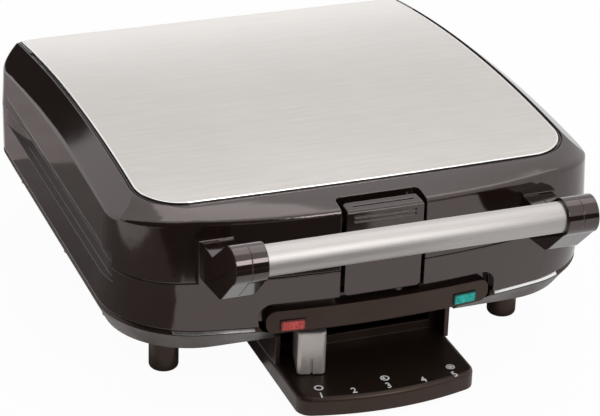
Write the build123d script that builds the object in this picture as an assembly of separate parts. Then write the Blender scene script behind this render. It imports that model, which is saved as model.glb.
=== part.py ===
from build123d import *
import math
import os

# Frame: X to the right, Y to the back, Z up, in millimetres.
# The origin is on the table, under the middle of the whole machine.

# Driving dimensions of the two housings
body_width = 290.0
front_y = -133.0
back_y = 167.0
bow_radius = 500.0
front_corner = 44.0
low_front_corner = 55.0
back_corner = 32.0
wall = 2.8
cover_bottom_z = 34.5
cover_bottom_half = 138.5
cover_bottom_front_y = front_y + 19.0
cover_bottom_bow = 2.0
cover_bottom_corner = 48.0
seam_z = 50.0
parting_z = 80.7
parting_gap = 0.6
fit_gap = 0.3

# Crowned top of the lid
crown_radius = 1020.0
crown_y = -3.0
crown_z = 124.7
bevel_start = 129.6
bevel_slope = 0.8
lid_draft = 2.3
nose_y = front_y - 5.0
nose_z = 115.9
nose_sag = 6.9
nose_flat = 106.0
nose_edge_z = 103.4
shoulder_steepen = 1.35
ridge_low_z = 100.0
ridge_round = 3.0

# Brushed cover sheet on the lid
sheet_half = 126.4
sheet_front_y = -103.5
sheet_back_y = 160.0
sheet_bow = 1.5
sheet_corner = 24.0
sheet_proud = 0.4
sheet_seat = 0.6
sheet_groove = 2.9
groove_depth = 2.2
groove_rib_in = 1.4
groove_rib_out = 2.0

# Grip recess along each side
recess_depth = 4.0
recess_low_z = 72.0
recess_high_z = 89.0
recess_front_y = -91.0
recess_back_y = 130.0

# Waffle plates
plate_half_x = 130.0
plate_front_y = -106.0
plate_back_y = 147.0
plate_bow = 4.0
plate_corner = 24.0
plate_rim = 3.0
plate_face_gap = 1.4
well_half = 113.0
well_depth = 13.0
well_y = 20.0
web = 3.5
waffle_pitch = 114.0
peg_pitch = 25.5
peg_side = 17.0
peg_height = 12.2
peg_draft = 9.0
rib_width = 7.0
seat_clear = 1.0
tray_round = 10.0
tray_clear = 0.6

# Heating elements, reflectors and clips
element_r = 3.3
element_half = 84.0
element_bend = 24.0
terminal_x = 16.0
reflector_half = 108.0
sheet_metal = 0.8

# Handle on the lid
tube_y = -172.0
tube_z = 116.5
tube_r = 8.5
tube_wall = 1.2
nose_r = 10.5
bracket_inner_x = 85.5
bracket_split_x = 94.5
bracket_outer_x = 103.5
pad_outer_x = 105.2
pad_face_y = -127.3
pad_low_z = 82.2
pad_top_z = 108.6
arm_top_z = 107.6
arm_root_z = 85.4
arm_tip_y = -160.6
arm_tip_z = 91.0
arm_notch_y = -144.4

# Latch tile in the front
tile_half = 22.5
notch_half = 25.0
notch_depth = 15.5
tile_low_z = 65.0
tile_top_z = 117.3
tile_corner = 2.6
notch_corner = 4.0
latch_pin_y = front_y + 7.0
latch_pin_z = 70.0
latch_pin_r = 2.0

# Control panel with the two lamps
channel_half = 70.5
channel_low_z = 46.0
channel_high_z = 64.5
channel_depth = 6.0
channel_round = 8.0
panel_half = 66.5
panel_low_z = 46.6
panel_high_z = 60.0
panel_round = 5.5
lamp_x = 51.5
lamp_z = 51.2
lamp_width = 14.0
lamp_height = 6.2

# Control shelf under the front, with the browning lever
shelf_half = 53.0
shelf_low_z = 3.5
shelf_top_z = 14.5
shelf_front_y = front_y - 24.3
shelf_bow = 8.0
shelf_corner = 9.0
shelf_edge = 3.0
riser_y = front_y + 36.0
box_back_y = 57.0
hood_front_y = front_y + 10.5
cheek_front_y = front_y + 23.5
hood_top_z = 48.5
hood_roof = 2.3
slot_half = 46.0
slot_low_z = 20.0
slot_high_z = 27.5
pivot_y = 23.0
lever_reach = 155.0
lever_rest_deg = -14.2
knob_width = 16.0
knob_depth = 27.0
knob_low_z = 15.2
knob_top_z = 41.5
arm_z = 22.0
arm_thick = 3.0
spindle_r = 3.0

# Feet, hinge, screws
foot_x = 106.0
front_foot_y = front_y + 63.0
rear_foot_y = 116.0
foot_r = 8.6
pad_r = 7.4
pad_height = 3.0
hinge_y = 176.0
hinge_z = 81.0
barrel_r = 6.5
hinge_pin_r = 3.0
run_gap = 0.05
knuckle_low_x = 60.0
knuckle_high_x = 80.0
ear_width = 5.0
screw_r = 1.7
head_r = 3.4
head_height = 2.2

base_top_z = parting_z - parting_gap / 2
lid_low_z = parting_z + parting_gap / 2
plate_top_z = parting_z - plate_face_gap
plate_seat_z = plate_top_z - plate_rim
base_room_top_z = recess_low_z - wall
lid_room_low_z = recess_high_z + wall
plate_under_z = plate_top_z - well_depth - web
lid_mirror = Plane.XY.offset(parting_z)


def outline(half, front, back, bow, front_round, back_round):
    """Plan outline with a bowed front edge, straight sides and rounded corners."""
    left = (-half, front + bow)
    right = (half, front + bow)
    rim = ThreePointArc(left, (0, front), right) + Polyline(right, (half, back), (-half, back), left)
    face = make_face(rim)
    face = fillet(face.vertices().group_by(Axis.Y)[0], front_round)
    return fillet(face.vertices().group_by(Axis.Y)[-1], back_round)


def body_plan(inset=0.0, corner=front_corner):
    """Outline shared by the lid and the base, drawn in by inset."""
    half = body_width / 2 - inset
    bow = bow_radius - math.sqrt(bow_radius ** 2 - half ** 2)
    return outline(half, front_y + inset, back_y - inset, bow, corner - inset, back_corner - inset)


def base_body(inset, low, high):
    """Base form between two heights: its front corners grow rounder from the parting line down."""
    def corner_at(z):
        return front_corner + (low_front_corner - front_corner) * (parting_z - z) / (parting_z - seam_z)

    return loft([Pos(0, 0, z) * body_plan(inset, corner_at(z)) for z in (low, high)], ruled=True)


def lid_body(inset, low):
    """Lid form above the height low, with walls that lean in a little towards the top."""
    lean = lid_draft * (low - lid_low_z) / (crown_z - lid_low_z)
    levels = [(low, inset + lean), (crown_z, inset + lid_draft)]
    return loft([Pos(0, 0, z) * body_plan(edge) for z, edge in levels], ruled=True)


def sheet_plan(grow=0.0):
    """Outline of the cover sheet, made larger by grow."""
    return outline(sheet_half + grow, sheet_front_y - grow, sheet_back_y + grow, sheet_bow,
                   sheet_corner + grow, sheet_corner + grow)


def plate_plan(grow=0.0):
    """Outline of a waffle plate, made larger by grow."""
    return outline(plate_half_x + grow, plate_front_y - grow, plate_back_y + grow, plate_bow,
                   plate_corner + grow, plate_corner + grow)


def tray_plan(grow=0.0):
    """Outline of the deep tray under a waffle plate, made larger by grow."""
    side = 2 * (well_half + web + grow)
    return Pos(0, well_y) * RectangleRounded(side, side, tray_round + grow)


def prism(face, low, high):
    """Upright solid on a plan outline, from height low to height high."""
    return extrude(Pos(0, 0, low) * face, amount=high - low)


def block(x0, x1, y0, y1, z0, z1):
    """Box given by its two corners."""
    size = (x1 - x0, y1 - y0, z1 - z0)
    return Pos((x0 + x1) / 2, (y0 + y1) / 2, (z0 + z1) / 2) * Box(*size)


def post(x, y, low, high, radius):
    """Upright cylinder from low to high."""
    return Pos(x, y, (low + high) / 2) * Cylinder(radius, high - low)


def cross_rod(x0, x1, y, z, radius):
    """Cylinder along X."""
    return Pos((x0 + x1) / 2, y, z) * Rot(0, 90, 0) * Cylinder(radius, x1 - x0)


def side_profile(points, x0, x1):
    """Solid with the given outline in Y and Z, from x0 to x1."""
    face = Plane.YZ * make_face(Polyline(*points, close=True))
    return extrude(Pos(x0, 0, 0) * face, amount=x1 - x0)


def front_profile(half, low, high, corner, depth):
    """Rounded rectangle seen from the front, cut straight back from before the nose of the bow."""
    face = Plane.XZ * (Pos(0, (low + high) / 2) * RectangleRounded(2 * half, high - low, corner))
    return extrude(Pos(0, front_y + depth, 0) * face, amount=depth + 2 * wall)


def both_sides(solid):
    """The solid and its mirror image across the middle plane."""
    return [solid, mirror(solid, about=Plane.YZ)]


def crowned(drop):
    """Everything below the crowned lid top with its bevelled long sides, lowered by drop."""
    top = crown_z - drop
    reach = body_width / 2 + wall
    edge = top - bevel_slope * (reach - bevel_start)
    points = [(-reach, 0), (-reach, edge), (-bevel_start, top), (bevel_start, top), (reach, edge), (reach, 0)]
    section = Pos(0, crown_y, 0) * (Plane.XZ * make_face(Polyline(*points, close=True)))
    turn = Axis((0, crown_y, crown_z - crown_radius), (1, 0, 0))
    swing = 24
    return revolve(section, turn, swing).rotate(turn, -swing / 2)


def crown_height(y):
    """Height of the crown along the middle of the lid."""
    return crown_z - crown_radius + math.sqrt(crown_radius ** 2 - (y - crown_y) ** 2)


def roof_section(y, flat, top, edge, sag):
    """Upright section of the lid's front slope: a middle strip that rolls over into two falling shoulders."""
    reach = body_width / 2 + wall
    ends = [(-flat, top - sag), (flat, top - sag)]
    strip = ThreePointArc(ends[0], (0, top), ends[1]) if sag else Line(*ends)
    fall = -shoulder_steepen * (top - sag - edge) / (reach - flat)
    right = Spline(ends[1], (reach, edge), tangents=[(1, -2 * sag / flat), (1, fall)])
    left = Spline((-reach, edge), ends[0], tangents=[(1, -fall), (1, 2 * sag / flat)])
    under = Polyline((reach, edge), (reach, 0), (-reach, 0), (-reach, edge))
    return Pos(0, y, 0) * (Plane.XZ * make_face(strip + right + under + left))


def front_slope():
    """Everything below the slope in front of the cover sheet, which turns round the front corners."""
    stations = [(front_y + 26.0, nose_flat, 107.6), (front_y + 38.0, 118.5, 106.3),
                (front_y + 62.0, 129.0, 112.0)]
    sections = [roof_section(nose_y, nose_flat, nose_z, nose_edge_z, nose_sag)]
    sections += [roof_section(y, flat, crown_height(y) + run_gap, edge, 0.0) for y, flat, edge in stations]
    reach = body_width / 2 + wall
    behind = block(-reach, reach, stations[-1][0], back_y + wall, 0, crown_z + wall)
    return loft(sections) + behind


def lid_form():
    """Whole outside of the lid, with its top ridge rounded."""
    form = lid_body(0.0, lid_low_z) & crowned(0.0) & front_slope()
    middle = prism(body_plan(lid_draft + wall), parting_z, crown_z + wall)
    ridge = [e for e in form.edges()
             if e.bounding_box().min.Z > ridge_low_z and not middle.is_inside(e.position_at(0.5))]
    return fillet(ridge, ridge_round)


def grip_recess(low, high):
    """Shallow channel along each long side, which follows the outline at its front end."""
    reach = body_width / 2 + wall
    bar = block(body_width / 4, reach, recess_front_y, recess_back_y, low, high)
    return both_sides(bar - prism(body_plan(recess_depth), low, high))


def front_channel(half, low, high, corner, shallow, deep):
    """Band that follows the bowed front between two depths, cut to a rounded front outline."""
    outer = prism(body_plan(shallow), low - wall, high + wall)
    band = outer - prism(body_plan(deep), low - wall, high + wall)
    return band & front_profile(half, low, high, corner, front_corner)


def hinge_boss(low_x, high_x, root_z, tip_z):
    """Barrel round the hinge line with a web to the back wall."""
    web_points = [(back_y - wall, root_z), (hinge_y, root_z * 0.4 + hinge_z * 0.6),
                  (hinge_y, tip_z), (back_y - wall, tip_z)]
    return cross_rod(low_x, high_x, hinge_y, hinge_z, barrel_r) + side_profile(web_points, low_x, high_x)


# Base housing: the wall tub, with a ledge for the lower plate
def base_housing():
    shell = base_body(0.0, seam_z + 1.2, base_top_z)
    tub = shell - base_body(wall, seam_z + 1.2, base_room_top_z)
    backing = front_channel(channel_half + wall, channel_low_z - wall, channel_high_z + wall,
                            channel_round + wall, 0.0, channel_depth + wall)
    backing += block(-notch_half - wall, notch_half + wall, front_y, front_y + notch_depth + wall,
                     seam_z + 1.2, base_top_z)
    tub += backing & shell
    tub += [post(x, y, seam_z + 1.2, plate_seat_z, 5.0) for x, y in cover_screw_places()]
    tub -= prism(plate_plan(seat_clear), plate_seat_z, base_top_z + wall)
    tub -= prism(tray_plan(tray_clear), seam_z, plate_seat_z + wall)
    tub -= front_channel(channel_half, channel_low_z, channel_high_z, channel_round, -wall, channel_depth)
    tub -= block(-notch_half, notch_half, front_y - wall, front_y + notch_depth,
                 channel_high_z - channel_round, base_top_z + wall)
    tub -= grip_recess(recess_low_z, base_top_z + wall)
    ears = [hinge_boss(x, x + ear_width, 58.0, base_top_z)
            for x in (knuckle_low_x - ear_width - fit_gap, knuckle_high_x + fit_gap)]
    for ear in ears:
        tub += both_sides(ear)
    tub -= both_sides(cross_rod(knuckle_low_x - 20, knuckle_high_x + 20, hinge_y, hinge_z, hinge_pin_r))
    tub -= cross_rod(-notch_half - wall, notch_half + wall, latch_pin_y, latch_pin_z, latch_pin_r)
    tub -= [post(x, y, seam_z, seam_z + 16, screw_r) for x, y in cover_screw_places()]
    tub -= [post(x, y, base_room_top_z - wall, plate_seat_z + wall, screw_r) for x, y in plate_screw_places()]
    tub -= gland_hole(8.0)
    return tub


def cover_screw_places():
    """Plan places of the screws that hold the bottom cover."""
    return [(x, y) for x in (-134.0, 134.0) for y in (-60.0, 20.0, 118.0)]


def plate_screw_places():
    """Plan places of the screws that hold each waffle plate, on its rim."""
    return [(x, y) for x in (-123.5, 123.5) for y in (-58.0, 18.0, 94.0)]


def gland_hole(radius):
    """Round opening in the back wall for the supply lead's bushing."""
    return Pos(0, back_y, 63.0) * Rot(90, 0, 0) * Cylinder(radius, 30)


# Bottom cover: tapered skirt with a lit ledge, floor, vents and openings
def bottom_cover():
    def stack(inset, floor):
        bottom = outline(cover_bottom_half - inset, cover_bottom_front_y + inset, back_y - 4.5 - inset,
                         cover_bottom_bow, cover_bottom_corner - inset, back_corner - 4.5 - inset)
        rims = [Pos(0, 0, cover_bottom_z + floor) * bottom,
                Pos(0, 0, seam_z - 2.0) * body_plan(inset, low_front_corner),
                Pos(0, 0, seam_z + 0.6) * body_plan(inset + 2.6, low_front_corner)]
        return loft(rims, ruled=True)

    cover = stack(0.0, 0.0) - stack(wall, wall)
    cover -= block(-shelf_half - fit_gap, shelf_half + fit_gap, front_y - wall, riser_y + wall + fit_gap,
                   0, seam_z + wall)
    cover -= front_channel(channel_half, channel_low_z, channel_high_z, channel_round, -wall, channel_depth)
    cover -= block(-shelf_half + wall, shelf_half - wall, riser_y, box_back_y - wall, 0, seam_z)
    vents = [Pos(x, y, cover_bottom_z) * Box(4, 34, 4 * wall)
             for x in (-98, -84, -70, 70, 84, 98) for y in (-20, 62)]
    cover -= vents
    for x, y in cover_screw_places():
        cover += post(x, y, cover_bottom_z, seam_z + 1.2, 5.0)
    for x, y in cover_screw_places():
        cover -= post(x, y, cover_bottom_z, seam_z + 1.2, screw_r)
        cover -= post(x, y, 0, cover_bottom_z + head_height, head_r)
    for x, y in foot_places():
        cover -= post(x, y, 0, seam_z, foot_r - 3.0)
    return cover


def foot_places():
    """Plan places of the four feet."""
    return [(x, y) for x in (-foot_x, foot_x) for y in (front_foot_y, rear_foot_y)]


# Foot posts with a spigot into the bottom cover, and their rubber pads
def feet():
    solids = []
    for x, y in foot_places():
        foot = post(x, y, 1.0, cover_bottom_z, foot_r)
        foot = fillet(foot.edges().group_by(Axis.Z)[0], 2.4)
        foot += post(x, y, cover_bottom_z, cover_bottom_z + wall, foot_r - 3.0)
        foot -= post(x, y, 0, pad_height, pad_r - 2.4)
        solids.append(foot)
    return Compound(solids)


def foot_pads():
    return Compound([post(x, y, 0, pad_height, pad_r - 2.4) for x, y in foot_places()])


# Waffle plate with four grids of tapered pegs, drawn as the lower plate
def waffle_plate():
    plate = prism(plate_plan(), plate_seat_z, plate_top_z)
    plate += prism(tray_plan(), plate_under_z, plate_top_z)
    well = Pos(0, well_y, plate_top_z) * RectangleRounded(2 * well_half, 2 * well_half, 6)
    plate -= extrude(well, amount=-well_depth, taper=6)
    well_z = plate_top_z - well_depth
    ribs = Rectangle(rib_width, 2 * well_half) + Rectangle(2 * well_half, rib_width)
    plate += extrude(Pos(0, well_y, well_z) * ribs, amount=well_depth - 1.0, taper=8)
    peg = extrude(Pos(0, 0, well_z) * Rectangle(peg_side, peg_side), amount=peg_height, taper=peg_draft)
    pegs = []
    for waffle in GridLocations(waffle_pitch, waffle_pitch, 2, 2):
        for spot in GridLocations(peg_pitch, peg_pitch, 4, 4):
            pegs.append(Pos(0, well_y, 0) * waffle * spot * peg)
    plate += pegs
    plate -= [post(x, y, plate_seat_z, plate_seat_z + 2.0, screw_r) for x, y in plate_screw_places()]
    return plate


# Tubular heating element under a plate: one loop with both ends at the back
def heating_element():
    back = well_y + element_half
    front = well_y - element_half
    inner = back - 30.0
    end = back + 22.0
    points = [(-terminal_x, end), (-terminal_x, inner), (-element_half, inner), (-element_half, front),
              (element_half, front), (element_half, inner), (terminal_x, inner), (terminal_x, end)]
    level = plate_under_z - element_r
    path = FilletPolyline(*[(x, y, level) for x, y in points], radius=element_bend)
    tube = sweep(Plane(path @ 0, z_dir=path % 0) * Circle(element_r), path)
    cold_pin = Rot(-90, 0, 0) * Cylinder(1.6, 12, align=(Align.CENTER, Align.CENTER, Align.MIN))
    pins = [Pos(x, end, level) * cold_pin for x in (-terminal_x, terminal_x)]
    return tube + pins


# Saddle clips that hold an element against the plate
def element_clips():
    level = plate_under_z - element_r
    solids = []
    for x in (-element_half, element_half):
        for y in (well_y - 40, well_y + 20):
            saddle = block(x - 9, x + 9, y - 5, y + 5, level - element_r - 1.2, plate_under_z)
            saddle -= Pos(x, y, level) * Rot(90, 0, 0) * Cylinder(element_r, 12)
            saddle -= block(x - element_r, x + element_r, y - 6, y + 6, level, plate_under_z + 1)
            solids.append(saddle)
    return Compound(solids)


# Polished reflector tray under an element
def reflector():
    rim_z = plate_under_z - 1.0
    floor_z = plate_under_z - 11.5
    back = well_y + reflector_half
    front = well_y - reflector_half
    tray = block(-reflector_half, reflector_half, front, back, floor_z, rim_z)
    tray -= block(-reflector_half + sheet_metal, reflector_half - sheet_metal, front + sheet_metal,
                  back - sheet_metal, floor_z + sheet_metal, rim_z + 1)
    for x in (-terminal_x, terminal_x):
        tray -= block(x - 5, x + 5, back - 3, back + 3, floor_z + 2, rim_z + 1)
    return tray - post(0, pivot_y, floor_z - 1, floor_z + 2, 20.0)


# Hinge pins, fixed in the ears of the base
def hinge_pins():
    reach = ear_width + fit_gap + 1.0
    return Compound(both_sides(cross_rod(knuckle_low_x - reach, knuckle_high_x + reach, hinge_y, hinge_z,
                                         hinge_pin_r)))


# Bushing for the supply lead in the back wall
def cord_gland():
    turn = Pos(0, back_y, 63.0) * Rot(90, 0, 0)
    collar = turn * Pos(0, 0, -2.5) * Cylinder(10.5, 5)
    sleeve = turn * Pos(0, 0, 2.0) * Cylinder(8.0, 8)
    return collar + sleeve - gland_hole(3.8)


def terminal_block():
    body = block(-24, 24, 131, 147, cover_bottom_z + wall, seam_z + 4)
    wells = [post(x, 139, seam_z, seam_z + 6, 3.4) for x in (-16, 0, 16)]
    return body - wells


def thermal_fuse():
    can = Pos(48, 60, plate_under_z - 4.5) * Rot(0, 90, 0) * Cylinder(3.2, 22)
    strap = block(42, 54, 55, 65, plate_under_z - 9.0, plate_under_z)
    return can + strap


# Thermostat under the lower plate, with a bore for the spindle
def thermostat():
    case = post(0, pivot_y, plate_under_z - 14, plate_under_z - 3, 15.0)
    case += block(-5, 5, pivot_y - 26, pivot_y + 26, plate_under_z - 3, plate_under_z)
    return case - post(0, pivot_y, 0, plate_under_z - 5, spindle_r + run_gap)


def thermostat_spindle():
    return post(0, pivot_y, arm_z - 3, plate_under_z - 6, spindle_r)


# Browning lever: steel arm on the spindle and a grey knob in front of the riser
def lever_turn(solid):
    """Swing a lever piece, drawn pointing forwards, to its rest at the first mark."""
    return solid.rotate(Axis((0, pivot_y, 0), (0, 0, 1)), lever_rest_deg)


def lever_arm():
    tip = pivot_y - lever_reach + 5.0
    arm = post(0, pivot_y, arm_z, arm_z + 7, 9.0) + block(-6, 6, tip, pivot_y, arm_z, arm_z + arm_thick)
    return lever_turn(arm - post(0, pivot_y, 0, seam_z, spindle_r))


def lever_knob():
    face = pivot_y - lever_reach
    knob = block(-knob_width / 2, knob_width / 2, face, face + knob_depth, knob_low_z, knob_top_z)
    knob = fillet(knob.edges().filter_by(Axis.Z), 2.6)
    knob = fillet(knob.edges().group_by(Axis.Z)[-1], 0.9)
    knob -= block(-6, 6, face + 5.0, face + knob_depth + 1, arm_z, arm_z + arm_thick)
    knob -= block(-0.7, 0.7, face - 1, face + 0.9, knob_low_z - 1, knob_low_z + 9.5)
    return lever_turn(knob)


# Control shelf: hanging box under the base with the marked shelf in front of it
def control_shelf():
    shelf = prism(outline(shelf_half, shelf_front_y, box_back_y, shelf_bow, shelf_corner, 2.0),
                  shelf_low_z, shelf_top_z)
    front_edges = shelf.edges().group_by(Axis.Z)[-1].filter_by(GeomType.LINE, reverse=True)
    shelf = fillet(front_edges, shelf_edge)
    shelf += block(-shelf_half, shelf_half, riser_y, box_back_y, shelf_top_z, cover_bottom_z)
    shelf += block(-shelf_half, shelf_half, hood_front_y, riser_y + wall, hood_top_z - hood_roof, hood_top_z)
    shelf += block(-shelf_half, shelf_half, cheek_front_y, riser_y + wall, shelf_top_z, hood_top_z)
    inner = shelf_half - wall
    shelf -= block(-inner, inner, riser_y + wall, box_back_y - wall, shelf_low_z + wall, hood_top_z + 1)
    shelf -= block(-inner, inner, front_y - wall, riser_y, shelf_top_z, hood_top_z - hood_roof)
    shelf -= block(-slot_half, slot_half, riser_y - 1, riser_y + wall + 1, slot_low_z, slot_high_z)
    hollow = outline(inner, shelf_front_y + wall, riser_y - wall, shelf_bow, shelf_corner - wall, 2.0)
    under = prism(hollow, 0, shelf_top_z - wall)
    under -= [block(x - 1, x + 1, shelf_front_y, riser_y, 0, shelf_top_z) for x in (-27, 0, 27)]
    return shelf - under


# Front panel that holds the two lamps
def control_panel():
    panel = front_channel(panel_half, panel_low_z, panel_high_z, panel_round, -0.6, channel_depth)
    for x in (-lamp_x, lamp_x):
        panel -= block(x - lamp_width / 2, x + lamp_width / 2, front_y - 5, front_y + 15,
                       lamp_z - lamp_height / 2, lamp_z + lamp_height / 2)
    return panel


def lamp_lens(side):
    x = side * lamp_x
    lens = block(x - lamp_width / 2, x + lamp_width / 2, front_y - 5, front_y + 15,
                 lamp_z - lamp_height / 2, lamp_z + lamp_height / 2)
    band = prism(body_plan(-1.4), 0, parting_z) - prism(body_plan(channel_depth), 0, parting_z)
    return lens & band


# Latch tile: front face, rolled top, catch nose and the pivot at its foot
def latch_tile():
    f = front_y
    outline_points = [(f + 0.3, tile_low_z), (f + 0.3, 115.2), (f + 1.6, 116.3), (f + 9.3, tile_top_z),
                      (f + 9.3, 113.0), (f + 6.0, 110.0), (f + 6.0, 101.0), (f + 11.2, 96.4), (f + 11.2, 95.3),
                      (f + 6.0, 95.3), (f + 6.0, 75.5), (f + 11.5, 72.0), (f + 11.5, tile_low_z + 1.0),
                      (f + 10.5, tile_low_z)]
    tile = side_profile(outline_points, -tile_half, tile_half)
    tile &= front_profile(tile_half, tile_low_z, tile_top_z, tile_corner, notch_depth)
    for y, z in ((f, 112.0), (f, 109.4)):
        tile -= block(-18, 18, y - 1, y + 1.1, z, z + 1.2)
    tile -= block(-18, 18, f + 4.6, f + 6.0, 115.6, 120)
    return tile - cross_rod(-tile_half - 1, tile_half + 1, latch_pin_y, latch_pin_z, latch_pin_r + run_gap)


def latch_pin():
    return cross_rod(-notch_half - wall, notch_half + wall, latch_pin_y, latch_pin_z, latch_pin_r)


# Leaf in the base that presses on the tile's tail and shuts it
def latch_return_leaf():
    b = front_y + notch_depth
    points = [(b, 79.0), (b - 0.7, 79.0), (b - 0.7, 75.0), (b - 3.8, 67.2), (b - 3.2, 66.8), (b, 74.8)]
    return side_profile(points, -7, 7)


# Leaf in the lid that snaps under the tile's catch nose
def latch_catch_leaf():
    b = front_y + notch_depth
    points = [(b, 86.0), (b, 94.9), (b - 6.2, 94.9), (b - 6.2, 94.1), (b - 0.8, 94.1), (b - 0.8, 86.0)]
    return side_profile(points, -7, 7)


# Lid housing: walls under the crowned top, with the seat of the cover sheet
def lid_housing():
    outer = lid_form()
    room = lid_body(wall, lid_room_low_z) & crowned(groove_depth + wall)
    lid = outer - (room & Pos(0, 0, -2 * wall) * front_slope())
    pocket_half = notch_half + wall
    pocket = block(-pocket_half, pocket_half, front_y, front_y + notch_depth + wall, lid_low_z, crown_z)
    lid += pocket & outer
    lid -= prism(sheet_plan(), parting_z, crown_z + wall) - crowned(sheet_seat)
    lid -= sheet_ring(0.0, sheet_groove) - crowned(groove_depth)
    rib = sheet_ring(groove_rib_in, groove_rib_out) & crowned(sheet_proud)
    lid += rib - crowned(groove_depth + sheet_proud)
    notch = Pos(0, front_y) * RectangleRounded(2 * notch_half, 2 * notch_depth, notch_corner)
    lid -= prism(notch, parting_z, crown_z + wall)
    lid -= grip_recess(parting_z, recess_high_z)
    lid -= mirror(prism(plate_plan(seat_clear), plate_seat_z, base_top_z + wall), about=lid_mirror)
    lid -= mirror(prism(tray_plan(tray_clear), base_room_top_z - wall, plate_seat_z + wall), about=lid_mirror)
    lid += both_sides(hinge_boss(knuckle_low_x, knuckle_high_x, 104.0, hinge_z))
    bore = cross_rod(knuckle_low_x - 1, knuckle_high_x + 1, hinge_y, hinge_z, hinge_pin_r + run_gap)
    lid -= both_sides(bore)
    lid -= [mirror(post(x, y, base_room_top_z - wall, plate_seat_z + wall, screw_r), about=lid_mirror)
            for x, y in plate_screw_places()]
    return lid - handle_bolts()


def sheet_ring(inside, outside):
    """Upright ring round the cover sheet, between two distances from its edge."""
    return (prism(sheet_plan(outside), parting_z, crown_z + wall)
            - prism(sheet_plan(inside), parting_z, crown_z + wall))


# Brushed cover sheet on the crown
def cover_sheet():
    sheet = prism(sheet_plan(), parting_z, crown_z + wall) & crowned(-sheet_proud)
    return sheet - crowned(sheet_seat)


# Handle: tube, inner brackets, outer caps and the bolts through the lid wall
def bracket_profile(x0, x1):
    """Handle arm seen from the side, from its pad to the round nose that holds the tube."""
    arm = [(pad_face_y, arm_top_z), (arm_notch_y, arm_top_z), (tube_y + 5.5, tube_z + 8.9), (tube_y, tube_z),
           (tube_y - 9.4, tube_z - 4.7), (arm_tip_y, arm_tip_z), (arm_tip_y + 3, arm_tip_z - 2),
           (pad_face_y, arm_root_z)]
    return side_profile(arm, x0, x1) + cross_rod(x0, x1, tube_y, tube_z, nose_r)


def handle_brackets():
    arm = bracket_profile(bracket_inner_x, bracket_split_x)
    arm -= cross_rod(bracket_inner_x - 1, bracket_split_x + 1, tube_y, tube_z, tube_r)
    pad = block(bracket_inner_x, pad_outer_x, pad_face_y, front_y + front_corner, pad_low_z, pad_top_z)
    arm += pad - lid_body(0.0, lid_low_z)
    return arm - handle_bolts()


def handle_caps():
    cap = bracket_profile(bracket_split_x, bracket_outer_x)
    spigot = cross_rod(bracket_split_x - 14, bracket_split_x, tube_y, tube_z, tube_r - tube_wall)
    return cap + spigot


def handle_tube():
    tube = cross_rod(-bracket_split_x, bracket_split_x, tube_y, tube_z, tube_r)
    return tube - cross_rod(-bracket_split_x, bracket_split_x, tube_y, tube_z, tube_r - tube_wall)


def bolt_places():
    """X and Z of the handle bolts."""
    middle = (bracket_inner_x + bracket_split_x) / 2
    return [(x, z) for x in (-middle, middle) for z in (94.5, 103.5)]


def handle_bolts():
    x_mid = bolt_places()[-1][0]
    wall_y = front_y + bow_radius - math.sqrt(bow_radius ** 2 - x_mid ** 2) + wall + lid_draft
    bolts = []
    for x, z in bolt_places():
        head = Pos(x, wall_y + 1.0, z) * Rot(90, 0, 0) * Cylinder(4.0, 3)
        shank = Pos(x, wall_y - 9.0, z) * Rot(90, 0, 0) * Cylinder(2.0, 20)
        bolts.append(shank + head)
    return Compound(bolts)


# Screws in like groups
def screw(x, y, head_z, tip_z):
    turn = 1 if tip_z > head_z else -1
    head = sorted((head_z, head_z + turn * head_height))
    shank = sorted((head_z, tip_z))
    return post(x, y, head[0], head[1], head_r) + post(x, y, shank[0], shank[1], screw_r)


def cover_screws():
    return Compound([screw(x, y, cover_bottom_z, seam_z + 12) for x, y in cover_screw_places()])


def plate_screws():
    low = base_room_top_z - head_height
    return Compound([screw(x, y, low, plate_seat_z + 2.0) for x, y in plate_screw_places()])


def lift(solid):
    """The lid's copy of a piece that is drawn for the lower plate."""
    return mirror(solid, about=lid_mirror)


def write_parts():
    os.makedirs("parts", exist_ok=True)
    lower_plate = waffle_plate()
    element = heating_element()
    clips = element_clips()
    tray = reflector()
    bracket = handle_brackets()
    cap = handle_caps()
    parts = {
        "base_housing": base_housing(),
        "bottom_cover": bottom_cover(),
        "feet": feet(),
        "foot_pads": foot_pads(),
        "lower_waffle_plate": lower_plate,
        "lower_heating_element": element,
        "lower_element_clips": clips,
        "lower_reflector": tray,
        "hinge_pins": hinge_pins(),
        "cord_gland": cord_gland(),
        "terminal_block": terminal_block(),
        "thermal_fuse": thermal_fuse(),
        "thermostat": thermostat(),
        "thermostat_spindle": thermostat_spindle(),
        "lever_arm": lever_arm(),
        "lever_knob": lever_knob(),
        "control_shelf": control_shelf(),
        "control_panel": control_panel(),
        "red_lamp_lens": lamp_lens(-1),
        "green_lamp_lens": lamp_lens(1),
        "latch_tile": latch_tile(),
        "latch_pin": latch_pin(),
        "latch_return_leaf": latch_return_leaf(),
        "latch_catch_leaf": latch_catch_leaf(),
        "lid_housing": lid_housing(),
        "cover_sheet": cover_sheet(),
        "upper_waffle_plate": lift(lower_plate),
        "upper_heating_element": lift(element),
        "upper_element_clips": lift(clips),
        "upper_reflector": lift(tray),
        "left_handle_bracket": mirror(bracket, about=Plane.YZ),
        "right_handle_bracket": bracket,
        "left_handle_cap": mirror(cap, about=Plane.YZ),
        "right_handle_cap": cap,
        "handle_tube": handle_tube(),
        "handle_bolts": handle_bolts(),
        "cover_screws": cover_screws(),
        "lower_plate_screws": plate_screws(),
        "upper_plate_screws": lift(plate_screws()),
    }
    for name, solid in parts.items():
        export_step(solid, f"parts/{name}.step")


write_parts()
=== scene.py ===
import math

import bpy
from bpy.props import FloatProperty, FloatVectorProperty, PointerProperty
from mathutils import Matrix, Vector
from mathutils.bvhtree import BVHTree


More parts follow.
